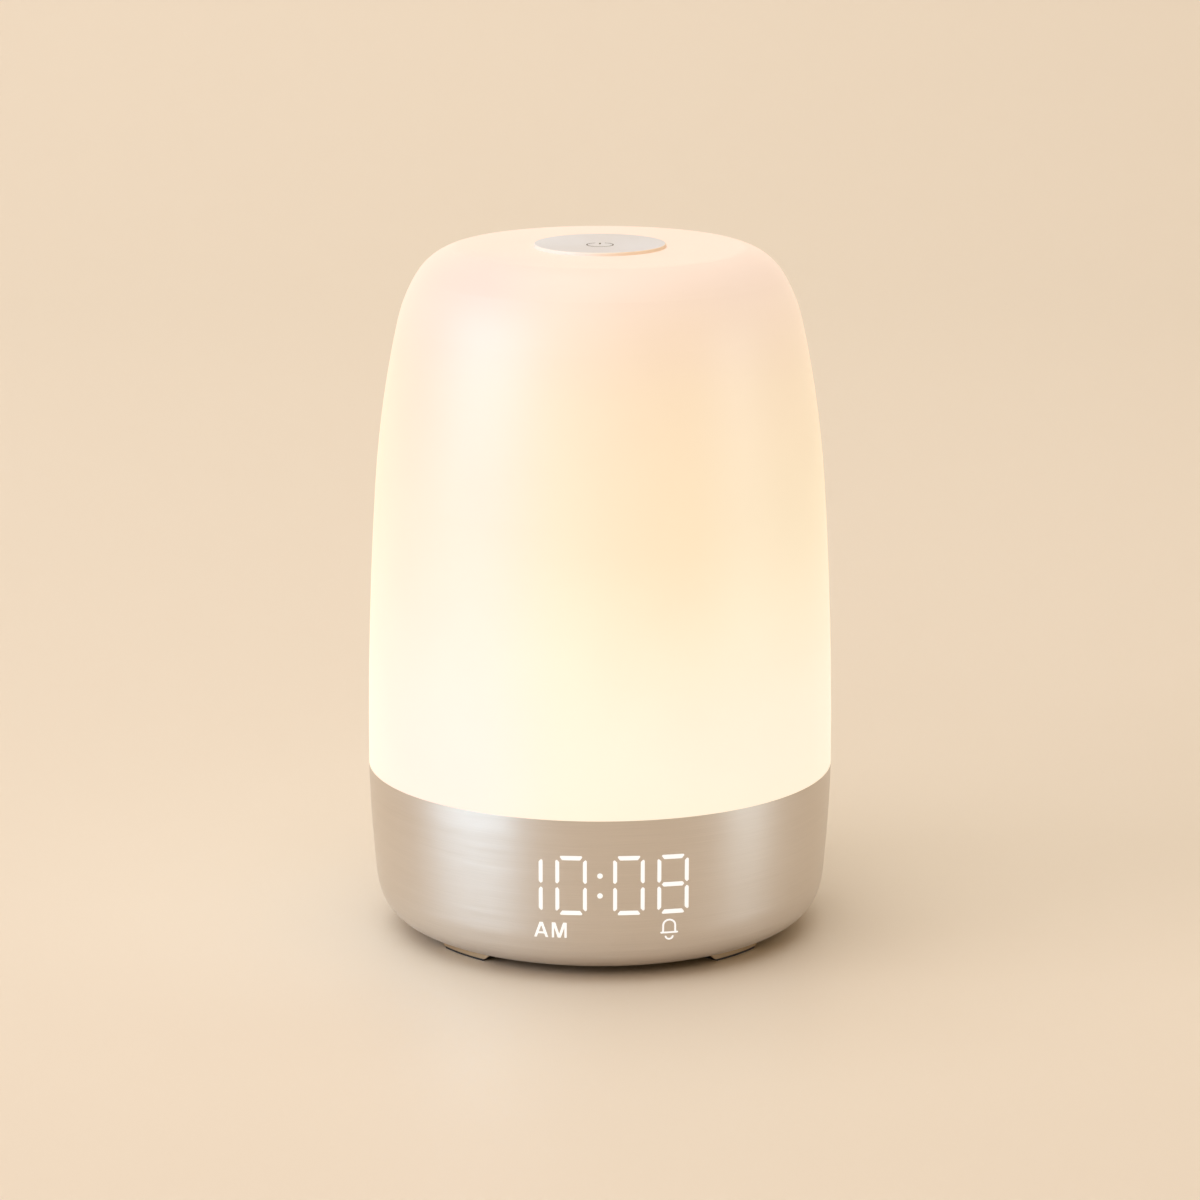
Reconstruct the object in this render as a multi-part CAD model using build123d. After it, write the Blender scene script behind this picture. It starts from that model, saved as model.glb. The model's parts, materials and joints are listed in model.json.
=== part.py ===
from build123d import *
from math import cos, radians, sin, sqrt
import os

# Sunrise alarm clock: a frosted dome shade on a round metal base with a hidden display.
# Millimetres. +Z is up, Z = 0 is the surface it stands on, and the display faces -Y.

# ---------------------------------------------------------------- driving dimensions
body_radius = 55.0  # shade and base share it where they meet
foot_height = 2.2

# Base outline, from the seam down: leaning side, turn and corner, as tangent arcs.
# Angles are the outline's lean from vertical, in degrees.
base_angle = 1.05
side_radius, side_angle = 330.0, 5.7
turn_radius, turn_angle = 18.0, 22.0
corner_radius = 9.3

# Shade outline, from the seam up, as tangent arcs that end flat on the crown.
barrel_radius, barrel_angle = 1000.0, 3.87
taper_radius, taper_angle = 249.0, 12.7
shoulder_radius, shoulder_angle = 36.7, 31.2
brow_radius, brow_angle = 13.9, 76.0
crown_edge_radius = 5.0

shell_wall = 1.0
mouth_setback = 10.8  # edge of the opening in the underside, in from the body's radius
shade_wall = 2.2

# Shade spigot and the snap ring that it clips on to
spigot_gap = 0.3
spigot_wall = 2.1
spigot_floor_gap = 0.3
ring_gap = 0.2
ring_wall = 1.8
ring_drop = 0.7  # top of the ring below the seam
snap_count = 6
snap_width, snap_height, snap_reach = 8.0, 1.5, 1.0
snap_window_gap = 0.25

# Touch plate, its stud and nut, and the post that carries its wire
plate_radius, plate_thickness, plate_stand = 15.4, 1.5, 0.75
plate_edge = 0.3
fit_gap = 0.1  # pieces that drop into each other
close_fit = 0.05  # pieces that hold or slide on each other
crown_pad_radius, crown_pad_thickness = 17.5, 1.0
stud_radius, stud_length = 1.5, 6.2
stud_gap = 0.2
nut_across, nut_height = 5.5, 2.4
post_radius, post_bore = 4.5, 3.35
post_flange_radius, post_flange = 8.0, 1.0
post_top_gap = 0.3
wire_radius = 0.5

# Chassis
deck_drop, deck_thickness = 4.2, 2.0  # deck top below the seam
deck_gap = 0.5
skirt_wall, skirt_depth = 1.6, 3.0
cover_post_radius, cover_post_setback, cover_post_angle = 3.2, 4.2, 24.0  # in from the mouth
board_post_radius, board_post_gap, board_post_angle = 2.8, 1.5164, 42.71  # screw heads inside the dish
pilot_radius, pilot_depth = 1.25, 7.0
rail_width, rail_lip, rail_floor = 2.6, 1.2, 12.0
rail_gap = 0.1

# Light board and reflector dish
light_board_gap, light_board_thickness = 6.1, 1.6  # in from the snap ring
led_length, led_width, led_height = 3.5, 2.8, 0.7
led_outer_setback, led_inner_setback = 15.0, 28.5  # in from the light board's edge
led_outer_count, led_inner_count = 16, 8
dish_overlap, dish_foot, dish_wall = 4.0, 2.0, 0.9
light_slot_x, light_slot_y, light_slot_length, light_slot_width = 12.0, 8.0, 5.0, 2.4

# Boards
board_thickness = 1.6
main_board_z = 22.0  # underside
main_side, main_front_edge, main_back_edge, main_corner = 5.0, 5.0, 3.0, 3.0  # board's edges beyond its posts

# Display: four seven-segment digits, a colon and two sign cells
display_z = 24.5
digit_width, digit_height, segment_width, segment_gap = 7.3, 14.1, 1.1, 0.35
digit_inner_x, digit_pitch = 6.57, 10.06
colon_radius, colon_rise = 0.7, 2.4
sign_z = 13.8
am_x, am_width, am_height = -11.25, 8.4, 4.4
bell_x, bell_width, bell_height = 15.8, 4.8, 5.6
display_half_width, display_low, display_high = 22.5, 10.3, 33.0
display_setback = 12.5  # face of the display board, in from the body's radius
display_board_side, display_board_low = 1.5, 9.6
film_gap, film_thickness = 0.1, 0.3
pipe_gap, pipe_start = 0.05, 1.2
chip_width, chip_height, chip_depth = 0.7, 0.9, 0.4

# Rear panel with its keys and charging socket
window_margin, window_low, window_high, window_corner = 9.0, 10.6, 31.6, 4.0  # beside the outer keys
panel_sink, panel_wall, panel_gap = 0.25, 2.2, 0.15
panel_flange = 1.5
panel_flange_gap = 0.1
key_radius, key_fit, key_stand = 3.2, 0.08, 0.55
key_pitch, key_z, key_travel = 10.0, 25.0, 0.5
key_edge = 0.4
key_guide_radius, key_guide_setback = 4.6, 8.6
key_flange_radius, key_flange, key_flange_gap = 4.1, 1.5, 0.2
rear_board_setback = 15.2
rear_board_margin, rear_board_low = 7.0, 9.6
switch_width, switch_height = 6.2, 3.5
plunger_radius = 1.7
plunger_sink, plunger_spare = 1.3, 0.2  # inside the switch at rest, room left at full travel
panel_post_inset, panel_post_z, panel_post_radius = 4.2, 17.5, 2.6
usb_z = 14.5
usb_width, usb_height, usb_wall, usb_length = 8.94, 3.26, 0.3, 10.4
usb_gap = 0.15
usb_tongue_width, usb_tongue_thickness, usb_tongue_length = 6.7, 0.7, 4.6
usb_tongue_inset = 0.9
pocket_width, pocket_height, pocket_wall = 13.0, 7.2, 1.1

# Bottom cover, feet and screws
cover_thickness, cover_gap = 2.0, 0.15
foot_setback, foot_width, foot_azimuth = 0.3, 7.9, 47.0
foot_top_half, foot_sole_half = 9.1, 6.5
screw_radius, screw_head_radius, screw_head = 1.22, 2.6, 1.1
screw_hole_radius = 1.6
head_recess_gap = 0.3
screw_grip = 5.5

# Speaker, facing down through slots in the cover
speaker_radius = 18.0
gasket_thickness, gasket_width = 0.5, 1.8
basket_flange, basket_rim_width = 0.9, 3.2
basket_wall, basket_height, basket_top_radius, basket_top = 0.8, 6.7, 10.5, 0.8
basket_shoulder = 0.8
basket_windows, basket_window_width, basket_window_height = 4, 9.0, 3.2
magnet_radius, magnet_height = 9.5, 6.2
cone_rim, cone_paper, cone_depth, dust_cap_radius = 1.0, 0.4, 3.35, 4.93
slot_count, slot_width, slot_pitch, slot_field = 7, 2.0, 4.0, 14.0
speaker_wall_gap, speaker_wall, speaker_wall_height = 0.4, 1.4, 4.5
terminal_length, terminal_height = 5.0, 2.4
terminal_lead_inset, speaker_lead_shift, speaker_lead_spread = 1.5, 5.0, 1.2

# Flat cell
cell_width, cell_depth, cell_height, cell_corner = 50.0, 33.0, 8.8, 2.0
cell_pad = 0.5
cell_board_gap = 1.1
cell_rib_gap, cell_rib, cell_rib_height = 0.3, 1.2, 4.0

lead_radius, lead_bend = 0.5, 2.0
battery_lead_inset, battery_lead_reach = 6.0, 2.6
ribbon_width, ribbon_thickness, ribbon_bend = 9.0, 0.3, 0.9
plug_width, plug_depth, plug_height = 12.0, 3.4, 2.5
ribbon_rise, ribbon_slope = 3.4, 1.2
light_plug_height, light_plug_depth = 4.0, 3.4
chips = (  # side of the board, in from that edge, y, width, depth, height
    (-1, 20.0, -9.0, 10.0, 10.0, 1.2),
    (-1, 19.0, 8.0, 6.0, 5.0, 1.0),
    (1, 20.0, -10.0, 6.5, 6.5, 1.1),
    (-1, 11.0, 16.0, 4.2, 4.2, 0.9),
)
cans = (  # side of the board, in from that edge, y, radius, height
    (1, 9.0, -8.0, 3.15, 7.7),
    (1, 9.0, 0.0, 3.15, 7.7),
    (1, 11.0, 15.0, 2.5, 5.4),
)
board_clearance = 0.2  # between a board's top edge and the deck
over = 1.0  # how far a cutting solid runs past what it cuts
end_flat = 0.02  # straight part left between two round ends
same_height = 1e-6  # heights this close are one height

# ---------------------------------------------------------------- outlines


def arc_run(start, lean, arcs, turn):
    """Tangent arcs as (centre r, centre z, radius, first lean, last lean); turn is +1 up, -1 down."""
    r, z = start
    run = []
    for radius, last in arcs:
        centre_r = r - radius * cos(radians(lean))
        centre_z = z - turn * radius * sin(radians(lean))
        run.append((centre_r, centre_z, radius, lean, last))
        r = centre_r + radius * cos(radians(last))
        z = centre_z + turn * radius * sin(radians(last))
        lean = last
    return run


def run_point(arc, lean, turn, inset=0.0):
    """The point of one arc where the outline leans by lean degrees."""
    centre_r, centre_z, radius = arc[:3]
    reach = radius - inset
    return (centre_r + reach * cos(radians(lean)), centre_z + turn * reach * sin(radians(lean)))


base_arcs = ((side_radius, side_angle), (turn_radius, turn_angle), (corner_radius, 90.0))
shade_arcs = (
    (barrel_radius, barrel_angle),
    (taper_radius, taper_angle),
    (shoulder_radius, shoulder_angle),
    (brow_radius, brow_angle),
    (crown_edge_radius, 90.0),
)
base_drop = -run_point(arc_run((body_radius, 0.0), base_angle, base_arcs, -1)[-1], 90.0, -1)[1]
seam_z = foot_height + base_drop
base_run = arc_run((body_radius, seam_z), base_angle, base_arcs, -1)
shade_run = arc_run((body_radius, seam_z), 0.0, shade_arcs, 1)
crown_z = run_point(shade_run[-1], 90.0, 1)[1]


def turned(edges):
    """Solid of revolution of a closed outline of edges in (r, z)."""
    return revolve(Plane.XZ * make_face(edges), Axis.Z)


def lathe(*points):
    """Solid of revolution of a polygon of (r, z) points."""
    return turned(Polyline(*points, close=True))


def run_form(run, turn, inset, end_z):
    """Solid of revolution under a run of arcs that is offset inwards, closed at height end_z."""
    edges = [
        CenterArc((arc[0], arc[1]), arc[2] - inset, turn * arc[3], turn * (arc[4] - arc[3]))
        for arc in run
    ]
    first = run_point(run[0], run[0][3], turn, inset)
    last = run_point(run[-1], run[-1][4], turn, inset)
    corner = (first[0], end_z)
    edges += Polyline(last, (0, last[1]), (0, end_z), corner).edges()
    if abs(first[1] - end_z) > same_height:
        edges.append(Line(corner, first))
    return turned(edges)


def base_form(inset, end_z=None):
    """The base's outer form, offset inwards by inset and closed at end_z or at the seam."""
    return run_form(base_run, -1, inset, seam_z if end_z is None else end_z)


def base_band(outer, inner):
    """The layer of the base's wall between two insets."""
    above = seam_z + deck_thickness
    return base_form(outer, above) - base_form(inner, above + deck_thickness)


# ---------------------------------------------------------------- simple solids


def block(x0, x1, y0, y1, z0, z1):
    """Box from its corner coordinates."""
    centre = ((x0 + x1) / 2, (y0 + y1) / 2, (z0 + z1) / 2)
    return Pos(*centre) * Box(x1 - x0, y1 - y0, z1 - z0)


def rod(x, y, radius, z0, z1):
    """Upright cylinder."""
    return Pos(x, y, (z0 + z1) / 2) * Cylinder(radius, z1 - z0)


def rod_y(x, z, radius, y0, y1):
    """Cylinder along Y."""
    return Pos(x, (y0 + y1) / 2, z) * Rot(90, 0, 0) * Cylinder(radius, y1 - y0)


def facing(sketch, x, z, y0, y1):
    """A sketch drawn in X and Z, extruded along Y from y0 to y1."""
    return extrude(Plane((x, y1, z), x_dir=(1, 0, 0), z_dir=(0, -1, 0)) * sketch, y1 - y0)


def four_corners(x, y):
    """The four places at plus and minus x and y."""
    return [(a * x, b * y) for a in (-1, 1) for b in (-1, 1)]


def screw(x, y, seat_z, way, grip):
    """Pan-head screw on a seat at seat_z; way is +1 where its shank points up."""
    head = rod(x, y, screw_head_radius, *sorted((seat_z, seat_z - way * screw_head)))
    shank = rod(x, y, screw_radius, *sorted((seat_z, seat_z + way * grip)))
    return head + shank


# ---------------------------------------------------------------- shared heights and places
mouth_radius = body_radius - mouth_setback
deck_top = seam_z - deck_drop
deck_low = deck_top - deck_thickness
deck_radius = body_radius - shell_wall - deck_gap
spigot_outer = body_radius - shell_wall - spigot_gap
spigot_inner = spigot_outer - spigot_wall
spigot_low = deck_top + spigot_floor_gap
ring_outer = spigot_inner - ring_gap
ring_inner = ring_outer - ring_wall
ring_top = seam_z - ring_drop
snap_low = (spigot_low + seam_z - snap_height) / 2
light_board_top = deck_top + light_board_thickness
light_board_radius = ring_inner - light_board_gap
dish_inner = light_board_radius - dish_overlap
main_board_top = main_board_z + board_thickness
cover_low = foot_height
cover_top = cover_low + cover_thickness
plate_seat = crown_z + plate_stand - plate_thickness
crown_under = crown_z - shade_wall - crown_pad_thickness
cover_post_circle = mouth_radius - cover_post_setback
cover_posts = four_corners(
    cover_post_circle * cos(radians(cover_post_angle)),
    cover_post_circle * sin(radians(cover_post_angle)),
)
display_board_front = display_setback - body_radius
display_board_back = display_board_front + board_thickness
display_board_half_width = display_half_width + display_board_side
rear_board_face = body_radius - rear_board_setback
rear_board_back = rear_board_face - board_thickness
key_guide_end = body_radius - key_guide_setback
board_high = deck_low - board_clearance
board_post_circle = dish_inner - screw_head_radius - board_post_gap
board_post_x = board_post_circle * cos(radians(board_post_angle))
board_post_y = board_post_circle * sin(radians(board_post_angle))
board_posts = four_corners(board_post_x, board_post_y)
main_half_width = board_post_x + main_side
main_front = -board_post_y - main_front_edge
main_back = board_post_y + main_back_edge
cell_front = rear_board_back - cell_board_gap - cell_depth
speaker_y = cell_front - cell_rib_gap - speaker_wall - speaker_wall_gap - speaker_radius
key_names = ("clock", "alarm", "sound", "minus", "plus")
key_places = [key_pitch * (i - (len(key_names) - 1) / 2) for i in range(len(key_names))]
window_half_width = key_places[-1] + window_margin
rear_board_half_width = key_places[-1] + rear_board_margin
panel_post_x = rear_board_half_width - panel_post_inset
foot_outer = mouth_radius - foot_setback
foot_inner = foot_outer - foot_width


# ---------------------------------------------------------------- shade and touch plate


def shade():
    """Frosted dome with a spigot, snap windows, and a seat and hole for the touch plate."""
    dome = run_form(shade_run, 1, 0.0, seam_z)
    dome -= run_form(shade_run, 1, shade_wall, seam_z - over)
    inner_radius = body_radius - shade_wall
    dome += lathe(
        (spigot_inner, spigot_low),
        (spigot_outer, spigot_low),
        (spigot_outer, seam_z),
        (inner_radius + shade_wall / 4, seam_z + spigot_wall),
        (inner_radius, seam_z + spigot_wall),
        (spigot_inner, seam_z),
    )
    dome += rod(0, 0, crown_pad_radius, crown_under, crown_z - shade_wall / 2)
    dome -= rod(0, 0, plate_radius + fit_gap, plate_seat, crown_z + over)
    dome -= rod(0, 0, stud_radius + stud_gap, crown_under - over, crown_z)
    window = block(
        ring_outer - ring_wall,
        spigot_outer + spigot_gap,
        -snap_width / 2 - snap_window_gap,
        snap_width / 2 + snap_window_gap,
        snap_low - snap_window_gap,
        snap_low + snap_height + snap_window_gap,
    )
    for i in range(snap_count):
        dome -= Rot(0, 0, 360 * (i + 0.5) / snap_count) * window
    return dome


def touch_plate():
    """Metal touch disc with a stud under it."""
    disc = rod(0, 0, plate_radius, plate_seat, plate_seat + plate_thickness)
    disc = fillet(disc.edges().group_by(Axis.Z)[-1], plate_edge)
    return disc + rod(0, 0, stud_radius, plate_seat - stud_length, plate_seat)


def touch_nut():
    """Hexagon nut that clamps the touch plate to the crown."""
    low = crown_under - nut_height
    hexagon = RegularPolygon(nut_across / 2, 6, major_radius=False)
    nut = extrude(Pos(0, 0, low) * hexagon, nut_height)
    return nut - rod(0, 0, stud_radius + close_fit, low - over, crown_under + over)


def touch_post():
    """White tube from the chassis deck to the crown, with a flange under the light board."""
    flange_low = deck_top - post_flange
    tube = rod(0, 0, post_radius, flange_low, crown_under - post_top_gap)
    tube += rod(0, 0, post_flange_radius, flange_low, deck_top)
    return tube - rod(0, 0, post_bore, flange_low - over, crown_under)


def touch_wire():
    """Straight lead in the post, from the stud to the main board."""
    return rod(0, 0, wire_radius, main_board_top, plate_seat - stud_length)


# ---------------------------------------------------------------- base shell


def window_prism(grow):
    """Prism of the rear window, grown by grow on every side."""
    width = 2 * (window_half_width + grow)
    height = window_high - window_low + 2 * grow
    sketch = RectangleRounded(width, height, window_corner + grow)
    return facing(sketch, 0, (window_low + window_high) / 2, rear_board_face, body_radius + over)


def base_shell():
    """Spun metal shell, open at the seam, with a mouth below and a window behind."""
    shell = base_form(0.0) - base_form(shell_wall, seam_z + over)
    shell -= rod(0, 0, mouth_radius, 0, seam_z / 2)
    return shell - window_prism(0.0)


# ---------------------------------------------------------------- chassis


def snap_catch():
    """Wedge on the snap ring: flat below, sloped above so that the spigot rides over it."""
    root = ring_outer - ring_wall / 2
    tip = ring_outer + snap_reach
    high = snap_low + snap_height
    outline = Polyline((root, snap_low), (tip, snap_low), (ring_outer, high), (root, high), close=True)
    return Pos(0, snap_width / 2, 0) * extrude(Plane.XZ * make_face(outline), snap_width)


def rail(half_width, face, back, way):
    """Pair of slotted rails under the deck that hold a board between face and back."""
    pair = []
    for side in (-1, 1):
        inner, outer = half_width - rail_lip, half_width + rail_width
        low, high = sorted((face, back))
        bar = block(
            *sorted((side * inner, side * outer)), low - rail_lip, high + rail_lip, rail_floor, deck_low
        )
        slot_edge = half_width + rail_gap
        slot = block(
            *sorted((0, side * slot_edge)), low - rail_gap, high + rail_gap, 0, board_high + rail_gap
        )
        pair.append(bar - slot)
    return pair


def chassis():
    """Moulded frame: deck, snap ring, skirt, posts for the boards and cover, and board rails."""
    frame = rod(0, 0, deck_radius, deck_low, deck_top)
    skirt_low = deck_low - skirt_depth
    frame += rod(0, 0, deck_radius, skirt_low, deck_low) - rod(
        0, 0, deck_radius - skirt_wall, skirt_low - over, deck_low
    )
    frame += rod(0, 0, ring_outer, deck_top, ring_top) - rod(0, 0, ring_inner, deck_top, ring_top + over)
    catch = snap_catch()
    for i in range(snap_count):
        frame += Rot(0, 0, 360 * (i + 0.5) / snap_count) * catch
    # The skirt is open in front of the display and over the rear panel's flange.
    half = display_half_width + 2 * rail_lip
    frame -= block(-half, half, -body_radius, display_board_front, 0, deck_low)
    half = window_half_width + panel_flange + rail_lip
    frame -= block(-half, half, rear_board_face, body_radius, 0, deck_low)
    for x, y in cover_posts:
        frame += rod(x, y, cover_post_radius, cover_top, deck_low)
        frame -= rod(x, y, pilot_radius, cover_top - over, cover_top + pilot_depth)
    for x, y in board_posts:
        frame += rod(x, y, board_post_radius, main_board_top, deck_low)
        frame -= rod(x, y, pilot_radius, main_board_top - over, deck_top + over)
    frame += rail(display_board_half_width, display_board_front, display_board_back, -1)
    frame += rail(rear_board_half_width, rear_board_face, rear_board_back, 1)
    frame -= rod(0, 0, post_flange_radius + fit_gap, deck_top - post_flange, deck_top + over)
    frame -= rod(0, 0, post_bore, deck_low - over, deck_top)
    return frame - light_slot(deck_low - over, deck_top + over)


def light_slot(z0, z1):
    """Slot in the deck for the light board's leads."""
    half_length, half_width = light_slot_length / 2, light_slot_width / 2
    return block(
        light_slot_x - half_length,
        light_slot_x + half_length,
        light_slot_y - half_width,
        light_slot_y + half_width,
        z0,
        z1,
    )


# ---------------------------------------------------------------- light


def light_board():
    """Aluminium-core board on the deck."""
    board = rod(0, 0, light_board_radius, deck_top, light_board_top)
    board -= rod(0, 0, post_radius + fit_gap, deck_top - over, light_board_top + over)
    for x, y in board_posts:
        board -= rod(x, y, screw_hole_radius, deck_top - over, light_board_top + over)
    return board


def light_leds():
    """Warm white LED packages on two rings."""
    leds = []
    for setback, count in ((led_outer_setback, led_outer_count), (led_inner_setback, led_inner_count)):
        radius = light_board_radius - setback
        for i in range(count):
            package = Pos(radius, 0, light_board_top + led_height / 2) * Box(
                led_width, led_length, led_height
            )
            leds.append(Rot(0, 0, 360 * (i + 0.5) / count) * package)
    return leds


def light_screws():
    """Screws that hold the light board to the deck."""
    return [screw(x, y, light_board_top, -1, screw_grip) for x, y in board_posts]


def reflector_dish():
    """White ring that throws the light up, from the light board to the top of the snap ring."""
    foot_edge = dish_inner + dish_foot
    lip_inner = ring_inner - fit_gap
    return lathe(
        (dish_inner, light_board_top),
        (foot_edge, light_board_top),
        (lip_inner, ring_top),
        (ring_outer - fit_gap, ring_top),
        (ring_outer - fit_gap, ring_top + dish_wall),
        (lip_inner, ring_top + dish_wall),
        (dish_inner, light_board_top + dish_wall / 2),
    )


# ---------------------------------------------------------------- display


def segment_shapes():
    """Outlines of one digit's seven segments, about the digit's centre: three bars and four posts."""
    half = segment_width / 2
    reach_x = digit_width / 2 - half  # centre line of the upright segments
    reach_z = digit_height / 2 - half  # centre line of the top and bottom bars
    end_x = reach_x - segment_gap
    end_z = reach_z - segment_gap
    shapes = []
    for z, upper, lower in ((reach_z, half, -half), (0.0, 0.0, 0.0), (-reach_z, -half, half)):
        # The outer bars widen towards the rim of the digit; the middle bar has pointed ends.
        shapes.append(
            Polyline(
                (-end_x, z),
                (-end_x + half - upper, z + half),
                (end_x - half + upper, z + half),
                (end_x, z),
                (end_x - half + lower, z - half),
                (-end_x + half - lower, z - half),
                close=True,
            )
        )
    for x in (-reach_x, reach_x):
        for low, high in ((segment_gap, end_z), (-end_z, -segment_gap)):
            shapes.append(
                Polyline(
                    (x, low),
                    (x + half, low + half),
                    (x + half, high - half),
                    (x, high),
                    (x - half, high - half),
                    (x - half, low + half),
                    close=True,
                )
            )
    return [make_face(shape) for shape in shapes]


def cell_sketches():
    """Every lit cell of the display as (sketch, x, z)."""
    cells = []
    for side in (-1, 1):
        for place in (digit_inner_x, digit_inner_x + digit_pitch):
            cells += [(shape, side * place, display_z) for shape in segment_shapes()]
    for rise in (-colon_rise, colon_rise):
        cells.append((Circle(colon_radius), 0, display_z + rise))
    cells.append((Rectangle(am_width, am_height), am_x, sign_z))
    cells.append((Rectangle(bell_width, bell_height), bell_x, sign_z))
    return cells


def display_block(front_inset, back_y):
    """Block behind the wall: its front follows the wall at an inset and its back is flat."""
    body = block(
        -display_half_width, display_half_width, -body_radius, back_y, display_low, display_high
    )
    return body & base_form(front_inset)


def display_film():
    """Smoked diffusing film, curved against the inside of the shell."""
    near = shell_wall + film_gap
    return display_block(near, display_board_front) - base_form(near + film_thickness)


def display_reflector():
    """White cell block with one straight cell for each segment, dot and sign."""
    body = display_block(shell_wall + 2 * film_gap + film_thickness, display_board_front)
    cells = [
        facing(sketch, x, z, -body_radius, display_board_front + over)
        for sketch, x, z in cell_sketches()
    ]
    return body - cells


def display_pipes():
    """Milky light pipes that fill the cells in front of the LED chips."""
    front = base_form(shell_wall + 2 * film_gap + film_thickness)
    pipes = []
    for sketch, x, z in cell_sketches():
        smaller = offset(sketch, -pipe_gap)
        stick = facing(smaller, x, z, -body_radius, display_board_front - pipe_start)
        pipes += (stick & front).solids()
    return pipes


def display_leds():
    """One LED chip at the bottom of each cell."""
    chips = []
    for sketch, x, z in cell_sketches():
        centre = sketch.center()
        cx, cz = x + centre.X, z + centre.Y
        chips.append(
            block(
                cx - chip_width / 2,
                cx + chip_width / 2,
                display_board_front - chip_depth,
                display_board_front,
                cz - chip_height / 2,
                cz + chip_height / 2,
            )
        )
    return chips


def plug(y_face, way, z):
    """Ribbon connector on the back of an upright board."""
    return block(
        -plug_width / 2, plug_width / 2, *sorted((y_face, y_face + way * plug_height)), z, z + plug_depth
    )


def display_board():
    """Upright board behind the reflector block, held in the front rails."""
    half = display_board_half_width
    board = block(-half, half, display_board_front, display_board_back, display_board_low, board_high)
    return board + plug(display_board_back, 1, ribbon_high_z - plug_depth / 2)


# ---------------------------------------------------------------- main board
ribbon_low_z = main_board_top + plug_height / 2
ribbon_high_z = ribbon_low_z + ribbon_rise


def main_board():
    """Horizontal board hung on four posts under the deck."""
    half = main_half_width
    board = block(-half, half, main_front, main_back, main_board_z, main_board_top)
    board = chamfer(board.edges().filter_by(Axis.Z), main_corner)
    for x, y in board_posts:
        board -= rod(x, y, screw_hole_radius, main_board_z - over, main_board_top + over)
    return board


def on_board(x, y, width, depth, height):
    """Boxed part that stands on the main board."""
    return block(
        x - width / 2, x + width / 2, y - depth / 2, y + depth / 2, main_board_top, main_board_top + height
    )


def board_chips():
    """Processor, memory, amplifier and charger packages."""
    return [
        on_board(side * (main_half_width - inset), y, width, depth, height)
        for side, inset, y, width, depth, height in chips
    ]


def capacitors():
    """Three can capacitors."""
    return [
        rod(side * (main_half_width - inset), y, radius, main_board_top, main_board_top + height)
        for side, inset, y, radius, height in cans
    ]


def board_plugs():
    """Connectors on the main board for the ribbons and leads."""
    return [
        on_board(0, main_front + plug_depth / 2, plug_width, plug_depth, plug_height),
        on_board(0, main_back - plug_depth / 2, plug_width, plug_depth, plug_height),
        on_board(light_slot_x, light_slot_y, light_slot_length, light_plug_depth, light_plug_height),
    ]


def main_board_screws():
    """Screws that hold the main board to its posts, from below."""
    return [screw(x, y, main_board_z, 1, board_thickness + screw_grip / 2) for x, y in board_posts]


def ribbon(near, far, half_slope):
    """Flat cable between two plugs, from near to far along Y, that rises halfway."""
    middle = (near + far) / 2
    line = FilletPolyline(
        (near, ribbon_low_z),
        (middle - half_slope, ribbon_low_z),
        (middle + half_slope, ribbon_high_z),
        (far, ribbon_high_z),
        radius=ribbon_bend,
    )
    strip = Plane.YZ * trace(line, ribbon_thickness)
    return Pos(-ribbon_width / 2, 0, 0) * extrude(strip, ribbon_width)


def display_ribbon():
    """Ribbon between the main board and the display board."""
    return ribbon(main_front, display_board_back + plug_height, -ribbon_slope / 2)


def rear_ribbon():
    """Ribbon between the main board and the rear board."""
    return ribbon(main_back, rear_board_back - plug_height, ribbon_slope / 2)


def lead_pair(x_centre, *path):
    """Two parallel leads along a path in Y and Z, side by side in X."""
    leads = []
    for side in (-1, 1):
        x = x_centre + 2 * side * lead_radius
        points = [(x, y, z) for y, z in path]
        line = FilletPolyline(*points, radius=lead_bend) if len(path) > 2 else Line(*points)
        leads.append(sweep((line ^ 0) * Circle(lead_radius), path=line))
    return leads


# ---------------------------------------------------------------- rear panel, keys and socket


def rounded_slot(width, height, grow):
    """Round-ended slot outline of the charging socket, grown by grow all round."""
    return RectangleRounded(width + 2 * grow, height + 2 * grow, (height + 2 * grow - end_flat) / 2)


def rear_panel():
    """Curved moulding in the rear window, with guides for the keys and a pocket for the plug."""
    back_inset = panel_sink + panel_wall
    panel = base_band(panel_sink, back_inset) & window_prism(-panel_gap)
    panel += base_band(shell_wall + panel_flange_gap, back_inset) & window_prism(panel_flange)
    inside = base_form(back_inset - panel_wall / 2)
    pocket_floor = rear_board_face + usb_length
    guides = [rod_y(x, key_z, key_guide_radius, key_guide_end, body_radius) for x in key_places]
    guides += [
        rod_y(side * panel_post_x, panel_post_z, panel_post_radius, rear_board_face, body_radius)
        for side in (-1, 1)
    ]
    guides.append(
        block(
            -pocket_width / 2 - pocket_wall,
            pocket_width / 2 + pocket_wall,
            pocket_floor - pocket_wall,
            body_radius,
            usb_z - pocket_height / 2 - pocket_wall,
            usb_z + pocket_height / 2 + pocket_wall,
        )
    )
    for guide in guides:
        panel += guide & inside
    for x in key_places:
        panel -= rod_y(x, key_z, key_radius + key_fit, key_guide_end - over, body_radius + over)
        panel -= rod_y(x, key_z, key_flange_radius + key_flange_gap, rear_board_face, key_guide_end)
    for side in (-1, 1):
        hole_end = rear_board_face + screw_grip
        panel -= rod_y(side * panel_post_x, panel_post_z, pilot_radius, rear_board_face - over, hole_end)
    pocket = RectangleRounded(pocket_width, pocket_height, (pocket_height - end_flat) / 2)
    panel -= facing(pocket, 0, usb_z, pocket_floor, body_radius + over)
    socket_hole = rounded_slot(usb_width, usb_height, usb_gap)
    return panel - facing(socket_hole, 0, usb_z, rear_board_face, body_radius)


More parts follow.
